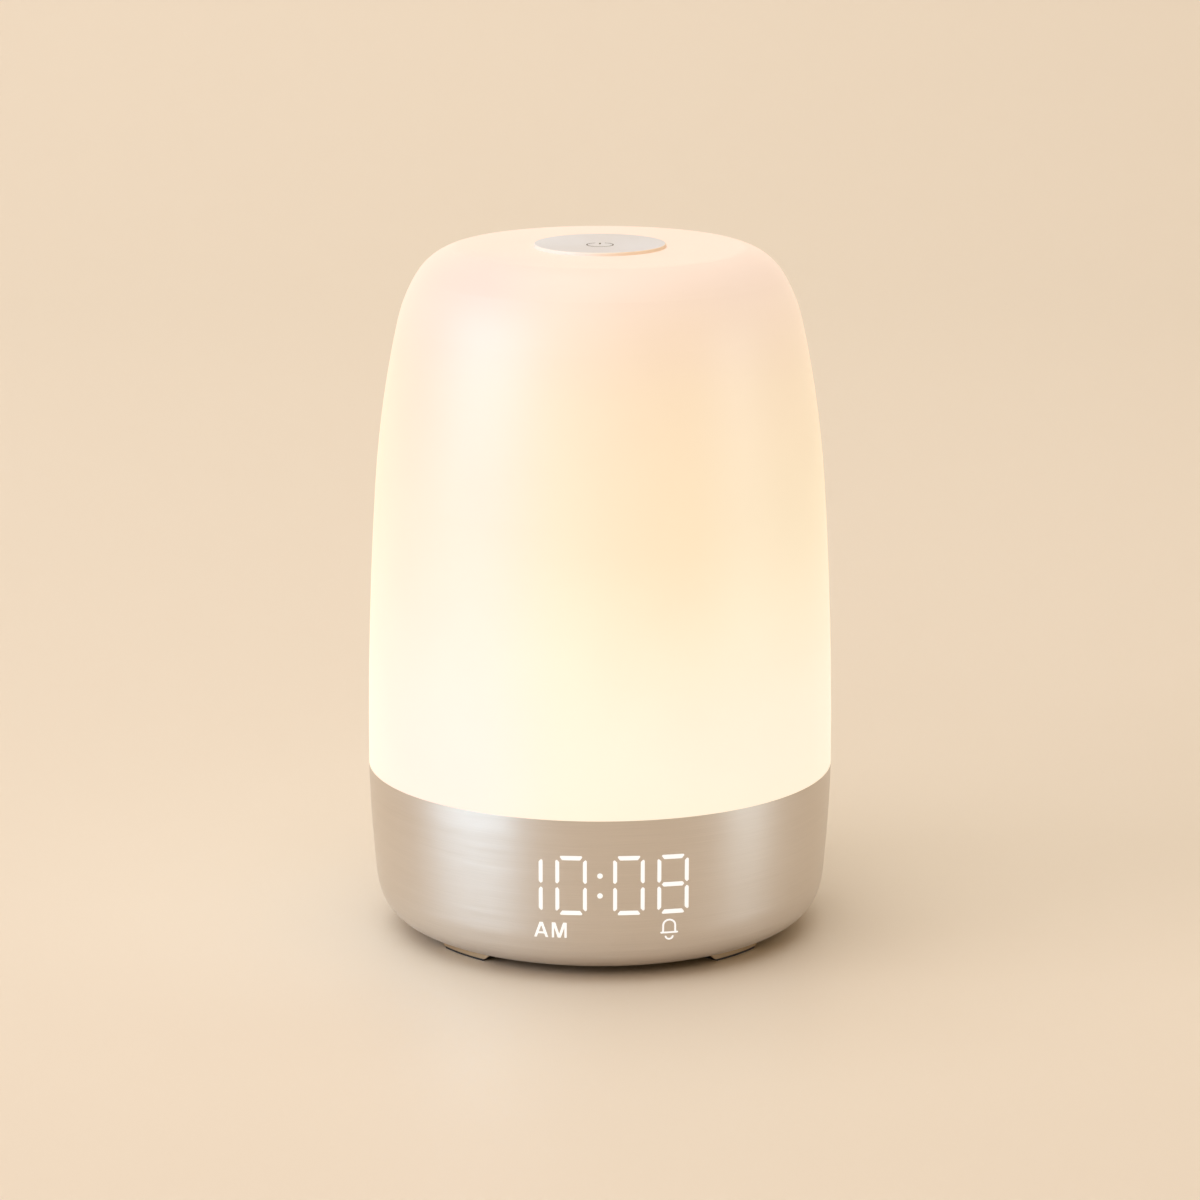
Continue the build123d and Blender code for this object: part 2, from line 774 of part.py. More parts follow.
def key(x):
    """Push button: a cap through the panel, its outer end following the wall, and a flange behind."""
    flange_front = key_guide_end - key_flange_gap
    cap = rod_y(x, key_z, key_radius, flange_front - key_flange / 2, body_radius + over)
    cap &= base_form(panel_sink - key_stand)
    cap = fillet(cap.faces().sort_by(Axis.Y)[-1].edges(), key_edge)
    return cap + rod_y(x, key_z, key_flange_radius, flange_front - key_flange, flange_front)


plunger_tip = key_guide_end - key_flange_gap - key_flange
switch_face = rear_board_face + switch_height


def plunger(x):
    """The switch's own plunger, which rests against the key."""
    return rod_y(x, key_z, plunger_radius, switch_face - plunger_sink, plunger_tip)


def switch_bodies():
    """Tact switches on the rear board, each with a bore for its plunger."""
    bodies = []
    half = switch_width / 2
    floor = switch_face - plunger_sink - key_travel - plunger_spare
    for x in key_places:
        body = block(x - half, x + half, rear_board_face, switch_face, key_z - half, key_z + half)
        bodies.append(body - rod_y(x, key_z, plunger_radius + close_fit, floor, switch_face + over))
    return bodies


def rear_board():
    """Upright board for the switches and the charging socket, held in the rear rails."""
    half = rear_board_half_width
    board = block(-half, half, rear_board_back, rear_board_face, rear_board_low, board_high)
    hole_start, hole_end = rear_board_back - over, rear_board_face + over
    for side in (-1, 1):
        board -= rod_y(side * panel_post_x, panel_post_z, screw_hole_radius, hole_start, hole_end)
    return board + plug(rear_board_back, -1, ribbon_high_z - plug_depth / 2)


def rear_board_screws():
    """Screws through the rear board into the panel's posts."""
    screws = []
    for side in (-1, 1):
        x = side * panel_post_x
        head = rod_y(x, panel_post_z, screw_head_radius, rear_board_back - screw_head, rear_board_back)
        tip = rear_board_face + screw_grip / 2
        screws.append(head + rod_y(x, panel_post_z, screw_radius, rear_board_back, tip))
    return screws


def usb_socket():
    """Steel shell of the charging socket, closed at the board."""
    outer = rounded_slot(usb_width, usb_height, 0.0)
    inner = rounded_slot(usb_width, usb_height, -usb_wall)
    mouth = rear_board_face + usb_length
    shell = facing(outer, 0, usb_z, rear_board_face, mouth)
    return shell - facing(inner, 0, usb_z, rear_board_face + usb_wall, mouth + over)


def usb_tongue():
    """Plastic core of the charging socket with its contact tongue."""
    root = rear_board_face + usb_wall
    tip = rear_board_face + usb_length - usb_tongue_inset
    core = facing(
        rounded_slot(usb_width, usb_height, -usb_wall - close_fit), 0, usb_z, root, tip - usb_tongue_length
    )
    half_width, half_height = usb_tongue_width / 2, usb_tongue_thickness / 2
    return core + block(
        -half_width, half_width, root, tip, usb_z - half_height, usb_z + half_height
    )


# ---------------------------------------------------------------- bottom cover, feet, speaker and cell


def bottom_cover():
    """Round cover in the mouth of the shell, with sound slots, screw holes and locating ribs."""
    cover = rod(0, 0, mouth_radius - cover_gap, cover_low, cover_top)
    wall_inner = speaker_radius + speaker_wall_gap
    high = cover_top + speaker_wall_height
    cover += rod(0, speaker_y, wall_inner + speaker_wall, cover_top, high) - rod(
        0, speaker_y, wall_inner, cover_top, high + over
    )
    rib = cell_width / 2 + cell_rib_gap
    for side in (-1, 1):
        cover += block(
            *sorted((side * rib, side * (rib + cell_rib))),
            cell_front + cell_corner,
            cell_front + cell_depth - cell_corner,
            cover_top,
            cover_top + cell_rib_height,
        )
    for i in range(slot_count):
        x = slot_pitch * (i - (slot_count - 1) / 2)
        length = 2 * sqrt(slot_field**2 - x**2)
        slot = Pos(x, speaker_y, cover_low - over) * Rot(0, 0, 90) * SlotOverall(length, slot_width)
        cover -= extrude(slot, cover_thickness + 2 * over)
    for x, y in cover_posts:
        cover -= rod(x, y, screw_hole_radius, cover_low - over, cover_top + over)
        cover -= rod(x, y, screw_head_radius + head_recess_gap, cover_low - over, cover_low + screw_head)
    return cover


def cover_screws():
    """Screws through the cover into the chassis posts, their heads flush."""
    grip = cover_thickness - screw_head + screw_grip
    return [screw(x, y, cover_low + screw_head, 1, grip) for x, y in cover_posts]


def rubber_feet():
    """Four low arc pads with sloped ends under the rim of the cover."""
    outline = Polyline(
        (-foot_sole_half, 0), (foot_sole_half, 0), (foot_top_half, cover_low), (-foot_top_half, cover_low),
        close=True,
    )
    pad = extrude(Plane.XZ * make_face(outline), foot_outer)
    pad &= rod(0, 0, foot_outer, 0, cover_low) - rod(0, 0, foot_inner, -over, cover_low + over)
    turns = (foot_azimuth, -foot_azimuth, 180 - foot_azimuth, 180 + foot_azimuth)
    return [Rot(0, 0, turn) * pad for turn in turns]


gasket_top = cover_top + gasket_thickness
basket_face = gasket_top + basket_flange


def speaker_ring(inner, z0, z1):
    """Ring on the speaker's axis."""
    return rod(0, speaker_y, speaker_radius, z0, z1) - rod(0, speaker_y, inner, z0 - over, z1 + over)


def speaker_gasket():
    """Foam ring between the speaker and the cover."""
    return speaker_ring(speaker_radius - gasket_width, cover_top, gasket_top)


def speaker_basket():
    """Pressed steel basket with four windows and a terminal block."""
    rim_inner = speaker_radius - basket_rim_width
    wall_foot = speaker_radius - basket_shoulder
    top = gasket_top + basket_height
    basket = lathe(
        (0, gasket_top),
        (speaker_radius, gasket_top),
        (speaker_radius, basket_face),
        (wall_foot, basket_face),
        (basket_top_radius, top + basket_top),
        (0, top + basket_top),
    )
    half = terminal_length / 2
    basket += block(basket_top_radius, wall_foot, -half, half, basket_face, basket_face + terminal_height)
    basket -= lathe(
        (0, gasket_top - over),
        (rim_inner, gasket_top - over),
        (rim_inner, basket_face),
        (wall_foot - basket_wall, basket_face),
        (basket_top_radius - basket_wall, top),
        (0, top),
    )
    middle = (basket_face + top) / 2
    half = basket_window_width / 2
    low, high = middle - basket_window_height / 2, middle + basket_window_height / 2
    opening = block(basket_top_radius - over, speaker_radius, -half, half, low, high)
    for i in range(basket_windows):
        basket -= Rot(0, 0, 360 * (i + 0.5) / basket_windows) * opening
    return Pos(0, speaker_y, 0) * basket


def speaker_magnet():
    """Magnet and yoke on the back of the basket."""
    low = gasket_top + basket_height + basket_top
    magnet = rod(0, speaker_y, magnet_radius, low, low + magnet_height)
    return chamfer(magnet.edges().group_by(Axis.Z)[-1], basket_wall)


def speaker_cone():
    """Paper cone with its surround and dust cap."""
    rim_inner = speaker_radius - basket_rim_width
    low = basket_face
    deep = low + cone_depth
    cone = lathe(
        (rim_inner - cone_rim, low),
        (rim_inner + cone_rim, low),
        (rim_inner + cone_rim, low + cone_paper),
        (rim_inner - cone_rim, low + cone_paper),
        (dust_cap_radius, deep + cone_paper),
        (0, deep + cone_paper),
        (0, deep),
        (dust_cap_radius, deep),
    )
    return Pos(0, speaker_y, 0) * cone


def speaker_leads():
    """Leads from the speaker's terminal block up to the main board."""
    low = basket_face + terminal_height
    middle = (low + main_board_z) / 2
    inner = speaker_radius - basket_shoulder - terminal_lead_inset
    outer = inner + speaker_lead_shift
    leads = []
    for side in (-1, 1):
        y = speaker_y + side * speaker_lead_spread
        path = FilletPolyline(
            (inner, y, low),
            (inner, y, middle - speaker_lead_shift / 2),
            (outer, y, middle + speaker_lead_shift / 2),
            (outer, y, main_board_z),
            radius=lead_bend,
        )
        leads.append(sweep((path ^ 0) * Circle(lead_radius), path=path))
    return leads


def cell_box(z0, z1):
    """Flat cell's outline between two heights."""
    half = cell_width / 2
    return block(-half, half, cell_front, cell_front + cell_depth, z0, z1)


def battery_pad():
    """Foam pad under the cell."""
    return cell_box(cover_top, cover_top + cell_pad)


def battery_cell():
    """Flat rechargeable cell with soft edges."""
    low = cover_top + cell_pad
    cell = cell_box(low, low + cell_height)
    return fillet(cell.edges().filter_by(Axis.Z), cell_corner)


def battery_leads():
    """Leads from the cell to the main board."""
    low = cover_top + cell_pad + cell_height / 2
    return lead_pair(
        battery_lead_inset - cell_width / 2,
        (cell_front, low),
        (cell_front - battery_lead_reach, low),
        (cell_front - battery_lead_reach, main_board_z),
    )


def light_leads():
    """Short leads from the main board through the deck to the light board."""
    plug_top = main_board_top + light_plug_height
    return lead_pair(light_slot_x, (light_slot_y, plug_top), (light_slot_y, deck_top))


# ---------------------------------------------------------------- output
nodes = {
    "diffuser_shade": shade(),
    "touch_plate": touch_plate(),
    "touch_nut": touch_nut(),
    "touch_post": touch_post(),
    "touch_wire": touch_wire(),
    "base_shell": base_shell(),
    "chassis": chassis(),
    "light_board": light_board(),
    "light_leds": light_leds(),
    "light_board_screws": light_screws(),
    "light_leads": light_leads(),
    "reflector_dish": reflector_dish(),
    "display_film": display_film(),
    "display_reflector": display_reflector(),
    "display_light_pipes": display_pipes(),
    "display_leds": display_leds(),
    "display_board": display_board(),
    "display_ribbon": display_ribbon(),
    "main_board": main_board(),
    "board_chips": board_chips(),
    "capacitors": capacitors(),
    "board_plugs": board_plugs(),
    "main_board_screws": main_board_screws(),
    "rear_panel": rear_panel(),
    "rear_board": rear_board(),
    "rear_board_screws": rear_board_screws(),
    "rear_ribbon": rear_ribbon(),
    "switch_bodies": switch_bodies(),
    "usb_socket": usb_socket(),
    "usb_tongue": usb_tongue(),
    "battery_cell": battery_cell(),
    "battery_pad": battery_pad(),
    "battery_leads": battery_leads(),
    "speaker_basket": speaker_basket(),
    "speaker_cone": speaker_cone(),
    "speaker_magnet": speaker_magnet(),
    "speaker_gasket": speaker_gasket(),
    "speaker_leads": speaker_leads(),
    "bottom_cover": bottom_cover(),
    "bottom_cover_screws": cover_screws(),
    "rubber_feet": rubber_feet(),
}
for name, x in zip(key_names, key_places):
    nodes[f"button_{name}"] = key(x)
    nodes[f"plunger_{name}"] = plunger(x)

os.makedirs("parts", exist_ok=True)
for name, made in nodes.items():
    solids = made if isinstance(made, list) else made.solids()
    export_step(Compound(children=list(solids)), f"parts/{name}.step")
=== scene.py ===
import json
from math import cos, pi, radians, sin, sqrt

import bmesh
import bpy
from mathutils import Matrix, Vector

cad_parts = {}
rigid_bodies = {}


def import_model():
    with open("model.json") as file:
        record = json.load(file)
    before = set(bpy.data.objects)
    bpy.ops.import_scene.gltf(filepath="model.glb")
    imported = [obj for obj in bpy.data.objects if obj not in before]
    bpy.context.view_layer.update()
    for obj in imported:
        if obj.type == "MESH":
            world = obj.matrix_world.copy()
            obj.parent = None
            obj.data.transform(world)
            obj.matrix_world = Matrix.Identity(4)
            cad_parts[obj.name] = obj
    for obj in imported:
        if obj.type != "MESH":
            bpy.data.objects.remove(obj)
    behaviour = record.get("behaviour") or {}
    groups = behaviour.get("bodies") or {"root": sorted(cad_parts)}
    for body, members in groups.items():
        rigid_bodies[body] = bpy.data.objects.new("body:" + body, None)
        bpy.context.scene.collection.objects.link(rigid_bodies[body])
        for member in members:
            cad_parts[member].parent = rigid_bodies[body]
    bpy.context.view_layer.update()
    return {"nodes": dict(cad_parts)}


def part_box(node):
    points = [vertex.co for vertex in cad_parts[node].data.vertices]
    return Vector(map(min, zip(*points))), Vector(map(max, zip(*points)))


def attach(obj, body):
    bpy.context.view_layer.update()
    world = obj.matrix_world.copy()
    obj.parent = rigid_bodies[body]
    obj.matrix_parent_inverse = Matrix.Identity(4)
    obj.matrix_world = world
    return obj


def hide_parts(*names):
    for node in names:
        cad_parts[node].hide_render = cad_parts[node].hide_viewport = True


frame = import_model()

MM = 0.001
FOOT_HEIGHT, BASE_RADIUS = 2.2, 55.0  # mm
WHITE, BLACK = (1.0, 1.0, 1.0), (0.0, 0.0, 0.0)

# ---------------------------------------------------------------- camera
SENSOR, LENS = 36.0, 126.8  # mm
PITCH = 13.209  # degrees that it looks down
CAMERA_PLACE = (0.0, -0.9734, 0.3067)
camera_data = bpy.data.cameras.new("camera")
camera_data.sensor_width = SENSOR
camera_data.lens = LENS
camera_data.clip_start = 0.05
camera_data.clip_end = 20.0
camera = bpy.data.objects.new("camera", camera_data)
camera.location = CAMERA_PLACE
camera.rotation_euler = (radians(90.0 - PITCH), 0.0, 0.0)
bpy.context.scene.collection.objects.link(camera)
bpy.context.scene.camera = camera
bpy.context.scene.view_settings.view_transform = "Standard"


# ---------------------------------------------------------------- node helpers
class Graph:
    """A material's node tree, with short calls that add and link nodes."""

    def __init__(self, name):
        self.material = bpy.data.materials.new(name)
        self.material.use_nodes = True
        self.tree = self.material.node_tree
        self.shader = self.tree.nodes["Principled BSDF"]

    def put(self, socket, value):
        """Links a socket to value, or sets its number or colour."""
        if isinstance(value, bpy.types.NodeSocket):
            self.tree.links.new(value, socket)
            return
        if isinstance(value, tuple) and len(value) == 3 and len(socket.default_value) == 4:
            value = (*value, 1.0)
        socket.default_value = value

    def node(self, kind, inputs=(), out=0, **settings):
        """Adds a node and gives its output number out."""
        made = self.tree.nodes.new(kind)
        for key, value in settings.items():
            setattr(made, key, value)
        for key, value in dict(inputs).items():
            self.put(made.inputs[key], value)
        return made.outputs[out]

    def math(self, operation, a, b=0.0):
        return self.node("ShaderNodeMath", {0: a, 1: b}, operation=operation)

    def times(self, a, b):
        return self.math("MULTIPLY", a, b)

    def combine(self, x, y, z):
        return self.node("ShaderNodeCombineXYZ", {0: x, 1: y, 2: z})

    def coords(self):
        """The point in the object's own frame, in metres."""
        return self.node("ShaderNodeTexCoord", out=3)

    def place(self):
        """X, Y and Z of that point."""
        split = self.tree.nodes.new("ShaderNodeSeparateXYZ")
        self.put(split.inputs[0], self.coords())
        return tuple(split.outputs)

    def radius(self, x, y):
        """Distance from the Z axis."""
        return self.math("SQRT", self.math("ADD", self.times(x, x), self.times(y, y)))

    def noise(self, vector, scale, detail=3.0, roughness=0.55):
        inputs = {"Vector": vector, "Scale": scale, "Detail": detail, "Roughness": roughness}
        return self.node("ShaderNodeTexNoise", inputs)

    def remap(self, value, low, high, to_low, to_high, smooth=False):
        """Maps low..high to to_low..to_high and holds the ends; smooth eases into them."""
        inputs = {0: value, 1: low, 2: high, 3: to_low, 4: to_high}
        kind = "SMOOTHSTEP" if smooth else "LINEAR"
        return self.node("ShaderNodeMapRange", inputs, interpolation_type=kind)

    def vary(self, noise, low, high):
        """Maps a noise to low..high over the middle of its range, where nearly all of it lies."""
        return self.remap(noise, 0.3, 0.7, low, high)

    def mix(self, factor, a, b):
        return self.node("ShaderNodeMix", {0: factor, 6: a, 7: b}, out=2, data_type="RGBA")

    def tint(self, colour, by):
        """A colour times another."""
        return self.node("ShaderNodeVectorMath", {0: colour, 1: by}, operation="MULTIPLY")

    def ramp(self, value, stops):
        """Smooth colour ramp of (position, colour) stops."""
        made = self.tree.nodes.new("ShaderNodeValToRGB")
        ramp = made.color_ramp
        ramp.interpolation = "B_SPLINE"
        while len(ramp.elements) < len(stops):
            ramp.elements.new(0.5)
        for element, (position, colour) in zip(ramp.elements, stops):
            element.position = position
            element.color = (*colour, 1.0)
        self.put(made.inputs[0], value)
        return made.outputs[0]

    def bump(self, height, distance):
        inputs = {"Height": height, "Distance": distance, "Strength": 1.0}
        return self.node("ShaderNodeBump", inputs)

    def set(self, **values):
        """Sets or links sockets of the shader by name, with _ for a space."""
        for key, value in values.items():
            self.put(self.shader.inputs[key.replace("_", " ")], value)


def shade_of(colour, factor):
    """The colour, lighter or darker by a factor."""
    return tuple(min(1.0, c * factor) for c in colour)


def spread(colour, share):
    """The colour made darker and lighter by a share."""
    return shade_of(colour, 1 - share), shade_of(colour, 1 + share)


# ---------------------------------------------------------------- materials
def moulded(name, colour, roughness=0.5, grain=2200.0, depth=0.00003):
    """Moulded plastic: fine spark texture, slight colour and gloss variation."""
    g = Graph(name)
    where = g.coords()
    broad = g.noise(where, 40.0, 2.0)
    fine = g.noise(where, grain, 2.0)
    colours = g.mix(broad, *spread(colour, 0.06))
    rough = g.vary(fine, roughness - 0.05, roughness + 0.06)
    g.set(Base_Color=colours, Roughness=rough, Normal=g.bump(fine, depth))
    return g.material


def plated(name, colour, roughness=0.3, scale=900.0):
    """Plated or drawn metal with a faint mottle."""
    g = Graph(name)
    where = g.coords()
    fine = g.noise(where, scale, 3.0)
    colours = g.mix(g.noise(where, 120.0), shade_of(colour, 0.92), shade_of(colour, 1.06))
    rough = g.vary(fine, roughness - 0.06, roughness + 0.08)
    g.set(Base_Color=colours, Metallic=1.0, Roughness=rough, Normal=g.bump(fine, 0.000008))
    return g.material


def solder_mask(name, colour):
    """Circuit board: lacquer with faint copper tracks under it."""
    g = Graph(name)
    inputs = {"Vector": g.coords(), "Scale": 380.0}
    cell = g.node("ShaderNodeTexVoronoi", inputs, distance="MANHATTAN")
    tracks = g.remap(cell, 0.25, 0.35, 0.0, 1.0)
    g.set(Base_Color=g.mix(tracks, shade_of(colour, 1.5), colour))
    g.set(Roughness=g.remap(cell, 0.0, 1.0, 0.28, 0.4), Normal=g.bump(tracks, 0.00002))
    return g.material


def foam(name, colour, scale=1500.0):
    """Closed-cell foam or pressed fibre with open pores."""
    g = Graph(name)
    cell = g.node("ShaderNodeTexVoronoi", {"Vector": g.coords(), "Scale": scale})
    g.set(Base_Color=g.mix(cell, *spread(colour, 0.4)), Roughness=0.92, Normal=g.bump(cell, 0.0001))
    return g.material


def brushed(name, colour, roughness, pitch, depth):
    """Brushed metal with fine lines round the Z axis; pitch is their density over the height."""
    g = Graph(name)
    x, y, z = g.place()
    along = g.times(g.math("ARCTAN2", x, g.times(y, -1.0)), BASE_RADIUS * MM)
    lines = g.noise(g.combine(g.times(along, 60.0), g.times(z, pitch), 0.0), 1.0, 4.0, 0.65)
    wide = g.noise(g.combine(g.times(along, 12.0), g.times(z, pitch / 9), 0.0), 1.0, 2.0)
    both = g.math("ADD", g.times(lines, 0.7), g.times(wide, 0.3))
    colours = g.mix(g.vary(both, 0.0, 1.0), *spread(colour, 0.05))
    rough = g.vary(both, roughness - 0.04, roughness + 0.05)
    g.set(Base_Color=colours, Metallic=1.0, Roughness=rough, Normal=g.bump(lines, depth))
    g.set(Anisotropic=0.6, Anisotropic_Rotation=0.25)
    g.set(Tangent=g.node("ShaderNodeTangent", direction_type="RADIAL", axis="Z"))
    return g.material


def touch_disc(name, face, highlight_edge, glow_edge, rim):
    """Satin disc with straight fine brushing. Outside the radius rim it turns along X from a
    painted highlight at the left to painted glow from the shade at the right, with a little
    emission as painted glow."""
    g = Graph(name)
    x, y, z = g.place()
    lines = g.noise(g.combine(g.times(x, 60.0), g.times(y, 4200.0), 0.0), 1.0, 4.0, 0.65)
    outside = g.remap(g.radius(x, y), rim - 0.0001, rim + 0.0001, 0.0, 1.0)
    satin = g.mix(g.vary(lines, 0.0, 1.0), *spread(face, 0.02))
    # Painted light on the rim: a painted highlight at the left, painted glow from the shade at the
    # right
    painted_rim_light = g.mix(g.remap(x, -0.006, 0.009, 0.0, 1.0, smooth=True), highlight_edge, glow_edge)
    g.set(Base_Color=g.mix(outside, satin, painted_rim_light), Metallic=g.remap(outside, 0.0, 1.0, 0.35, 0.0))
    g.set(Roughness=g.vary(lines, 0.42, 0.51), Normal=g.bump(lines, 0.000008))
    g.set(Anisotropic=0.3, Emission_Color=g.mix(outside, BLACK, painted_rim_light), Emission_Strength=0.10)
    return g.material


# The shade's glow at shares of its height, from the seam to the crown, with a painted highlight of
# the overhead light as the bluer band at 0.92
SHADE_LOW, SHADE_HIGH = 0.036, 0.163  # m
GLOW_AND_PAINTED_SHEEN = (
    (0.00, (0.915, 0.832, 0.655)),
    (0.10, (0.915, 0.838, 0.688)),
    (0.28, (0.892, 0.812, 0.634)),
    (0.50, (0.850, 0.744, 0.540)),
    (0.78, (0.800, 0.650, 0.474)),
    # painted highlight: the overhead light's reflection along the shoulder
    (0.92, (0.782, 0.632, 0.525)),
    (1.00, (0.730, 0.552, 0.462)),
)
# Painted light on the shade: a warm painted shade for the upper right and a cool painted reflection
# for the left front
PAINTED_WARM_SHADE, PAINTED_COOL_SHEEN = (1.0, 0.955, 0.890), (1.0, 0.900, 0.995)


def frosted_shade():
    """Frosted lit plastic, brightest just over the base. It is warmer at the upper right as painted
    shade, and cooler at the left front as a painted reflection of the light from the left."""
    g = Graph("frosted_shade")
    x, y, z = g.place()
    height = g.remap(z, SHADE_LOW, SHADE_HIGH, 0.0, 1.0)
    glow_and_sheen = g.ramp(height, GLOW_AND_PAINTED_SHEEN)
    # Masks for the painted light: the left front gets a painted reflection of the light from the
    # left, the upper right a painted shade
    front = g.remap(y, -0.034, 0.004, 1.0, 0.0, smooth=True)
    left = g.times(g.remap(x, -0.030, -0.006, 1.0, 0.0, smooth=True), front)
    rise = g.remap(x, -0.017, 0.020, 0.0, 1.0, smooth=True)
    right = g.math("SUBTRACT", rise, g.remap(x, 0.020, 0.034, 0.0, 0.45, smooth=True))
    upper = g.remap(height, 0.15, 0.55, 0.0, 1.0, smooth=True)
    upper = g.times(upper, g.remap(height, 0.88, 1.0, 1.0, 0.35, smooth=True))
    glow_and_painted_light = g.tint(glow_and_sheen, g.mix(g.times(right, upper), WHITE, PAINTED_WARM_SHADE))
    glow_and_painted_light = g.tint(glow_and_painted_light, g.mix(left, WHITE, PAINTED_COOL_SHEEN))
    cloud = g.noise(g.coords(), 26.0, 2.0)
    uneven = {0: glow_and_painted_light, "Scale": g.vary(cloud, 0.985, 1.015)}
    glow_and_painted_light = g.node("ShaderNodeVectorMath", uneven, operation="SCALE")
    fine = g.noise(g.coords(), 2600.0, 2.0)
    g.set(Base_Color=g.mix(cloud, (0.33, 0.30, 0.27), (0.36, 0.33, 0.30)))
    g.set(Roughness=g.vary(fine, 0.45, 0.52), Normal=g.bump(fine, 0.000012))
    g.set(Emission_Color=glow_and_painted_light, Emission_Strength=0.86)
    return g.material


def painted_shadow_foot(name, side, contact_shadow, split, rim):
    """Rubber, dark below the height split as a painted contact shadow where it meets the floor; its
    colour is side above the split outside the radius rim.
    """
    g = Graph(name)
    x, y, z = g.place()
    fine = g.noise(g.coords(), 2200.0, 2.0)
    # Below the split the foot is dark: a painted contact shadow along the floor
    upper = g.remap(z, split - 0.00006, split + 0.00006, 0.0, 1.0)
    upper = g.times(upper, g.remap(g.radius(x, y), rim - 0.0001, rim + 0.0001, 0.0, 1.0))
    shaded = g.mix(fine, *spread(side, 0.06))
    g.set(Base_Color=g.mix(upper, contact_shadow, shaded), Roughness=g.remap(upper, 0.0, 1.0, 0.75, 0.42))
    g.set(Metallic=g.times(upper, 0.6), Normal=g.bump(fine, 0.00001))
    return g.material


def glowing(name, colour, strength):
    """Lit white mark with a slightly uneven glow."""
    g = Graph(name)
    cloud = g.noise(g.coords(), 700.0, 2.0)
    g.set(Base_Color=shade_of(colour, 0.22), Roughness=0.5)
    g.set(Emission_Color=g.mix(cloud, shade_of(colour, 0.97), colour), Emission_Strength=strength)
    return g.material


# The touch plate rim's painted highlight and painted glow from the shade
PAINTED_HIGHLIGHT_EDGE, PAINTED_GLOW_EDGE = (0.88, 0.84, 0.84), (0.94, 0.77, 0.60)
# The solids' materials by name: each one's maker and its values
FINISHES = {
    "button_plastic": (moulded, (0.035, 0.033, 0.031), 0.34, 2600.0, 0.000015),
    "capacitor_can": (plated, (0.60, 0.60, 0.62), 0.32),
    "cell_foil": (plated, (0.55, 0.56, 0.58), 0.42, 400.0),
    "champagne_metal": (brushed, (0.692, 0.648, 0.608), 0.36, 5200.0, 0.000012),
    "chassis_plastic": (moulded, (0.70, 0.70, 0.67), 0.5),
    "chip_black": (moulded, (0.012, 0.012, 0.012), 0.42),
    "circuit_board": (solder_mask, (0.008, 0.065, 0.025)),
    "connector_ivory": (moulded, (0.74, 0.68, 0.53), 0.4),
    "cover_plastic": (moulded, (0.030, 0.028, 0.026), 0.55, 1800.0, 0.00005),
    "fastener": (plated, (0.42, 0.42, 0.42), 0.3),
    "ferrite": (plated, (0.05, 0.05, 0.055), 0.45),
    "film": (moulded, (0.02, 0.018, 0.016), 0.25),
    "foam": (foam, (0.02, 0.02, 0.02)),
    "foot_rubber": (painted_shadow_foot, (0.52, 0.39, 0.25), (0.008, 0.007, 0.006), 0.00045, 0.0434),
    "lead_red": (moulded, (0.38, 0.012, 0.008), 0.4),
    "led_chip": (moulded, (0.88, 0.84, 0.70), 0.35),
    "led_phosphor": (glowing, (0.95, 0.72, 0.25), 0.9),
    "light_pipe": (glowing, (0.90, 0.90, 0.88), 0.6),
    "metal_core_board": (moulded, (0.84, 0.84, 0.82), 0.4),
    "panel_plastic": (moulded, (0.026, 0.024, 0.022), 0.5, 1800.0, 0.00005),
    "paper_cone": (foam, (0.012, 0.012, 0.012), 700.0),
    "plunger_plastic": (moulded, (0.015, 0.015, 0.015), 0.45),
    "ribbon_white": (moulded, (0.68, 0.68, 0.68), 0.4),
    "socket_steel": (plated, (0.62, 0.62, 0.64), 0.22),
    "speaker_steel": (plated, (0.08, 0.08, 0.085), 0.4),
    "switch_housing": (plated, (0.42, 0.42, 0.42), 0.35),
    "tongue_black": (moulded, (0.012, 0.012, 0.012), 0.45),
    "touch_metal": (touch_disc, (0.765, 0.798, 0.870), PAINTED_HIGHLIGHT_EDGE, PAINTED_GLOW_EDGE, 0.01515),
    "white_plastic": (moulded, (0.84, 0.84, 0.81), 0.45),
}
finishes = {name: maker(name, *values) for name, (maker, *values) in FINISHES.items()}
finishes["shade"] = frosted_shade()
for node in frame["nodes"].values():
    slot = node.data.materials[0].name.split(".")[0]
    node.data.materials[0] = finishes[slot]


# ---------------------------------------------------------------- meshes
def piece(name, bm, material, body="clock_body", smooth_angle=40.0):
    """Turns a bmesh into a piece of the clock."""
    mesh = bpy.data.meshes.new(name)
    bmesh.ops.recalc_face_normals(bm, faces=bm.faces[:])
    bm.to_mesh(mesh)
    bm.free()
    made = bpy.data.objects.new(name, mesh)
    bpy.context.scene.collection.objects.link(made)
    mesh.materials.append(material)
    mesh.shade_smooth()
    mesh.set_sharp_from_angle(angle=radians(smooth_angle))
    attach(made, body)
    return made


# The base's outer form from the seam down: arcs of (radius in mm, lean at the lower end in degrees)
SEAM_LEAN = 1.05
BASE_ARCS = ((330.0, 5.7), (18.0, 22.0), (9.3, 90.0))


def base_runs():
    """The arcs as (centre radius, centre z, radius, lower lean), with the base on its feet."""
    r, z, lean, runs = BASE_RADIUS, 0.0, SEAM_LEAN, []
    for radius, last in BASE_ARCS:
        cr, cz = r - radius * cos(radians(lean)), z + radius * sin(radians(lean))
        runs.append((cr, cz, radius, last))
        r, z, lean = cr + radius * cos(radians(last)), cz - radius * sin(radians(last)), last
    seam = FOOT_HEIGHT - z
    return [(cr, cz + seam, radius, last) for cr, cz, radius, last in runs]


RUNS = base_runs()


def wall_radius(z):
    """Radius of the base's outer surface at height z, in mm."""
    for cr, cz, radius, last in RUNS:
        if z >= cz - radius * sin(radians(last)) - 1e-6:
            return cr + sqrt(max(0.0, radius**2 - (cz - z) ** 2))
    return 0.0


